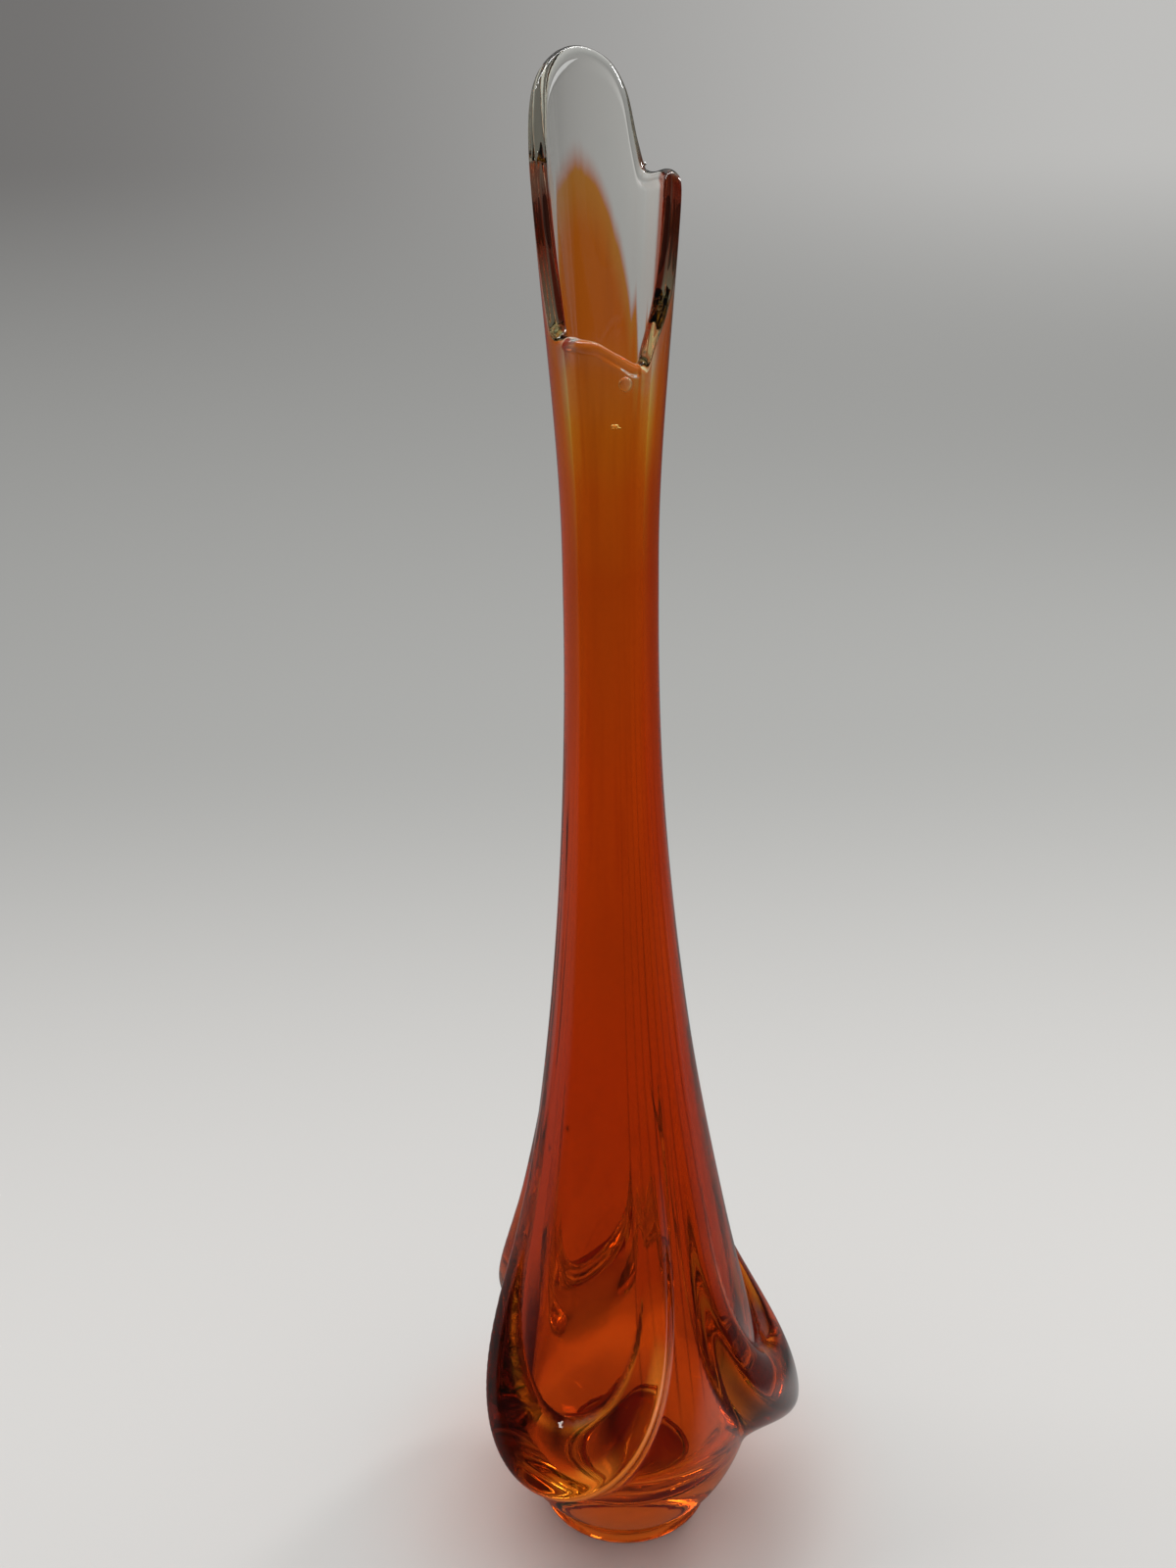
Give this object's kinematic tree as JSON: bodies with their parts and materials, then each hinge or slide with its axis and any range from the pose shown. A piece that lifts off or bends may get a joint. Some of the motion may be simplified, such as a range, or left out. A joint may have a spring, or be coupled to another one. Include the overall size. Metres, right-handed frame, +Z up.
{
  "type": "vase",
  "caption": "Tall swung glass vase: low round bowl with draped dished foils, slim drawn neck and an uneven petal mouth, on a flat round foot",
  "frame": {"origin": "middle of the flat underside of the foot, on the axis of the bowl", "axes": "+Z up along the neck; -Y is the pictured front, +X is to the right in the picture"},
  "size_m": [0.1103, 0.1208, 0.494],
  "materials": {
    "red_orange_glass": "fire-polished",
    "amber_glass": "fire-polished",
    "clear_glass": "fire-polished"
  },
  "bodies": {
    "root": {"foot_disc": "amber_glass", "bowl_base": "red_orange_glass", "foil_front": "red_orange_glass", "foil_right": "red_orange_glass", "foil_back": "red_orange_glass", "shoulder": "red_orange_glass", "neck": "red_orange_glass", "petal_right": "clear_glass", "petal_back": "clear_glass", "petal_front": "clear_glass"}
  },
  "joints": []
}
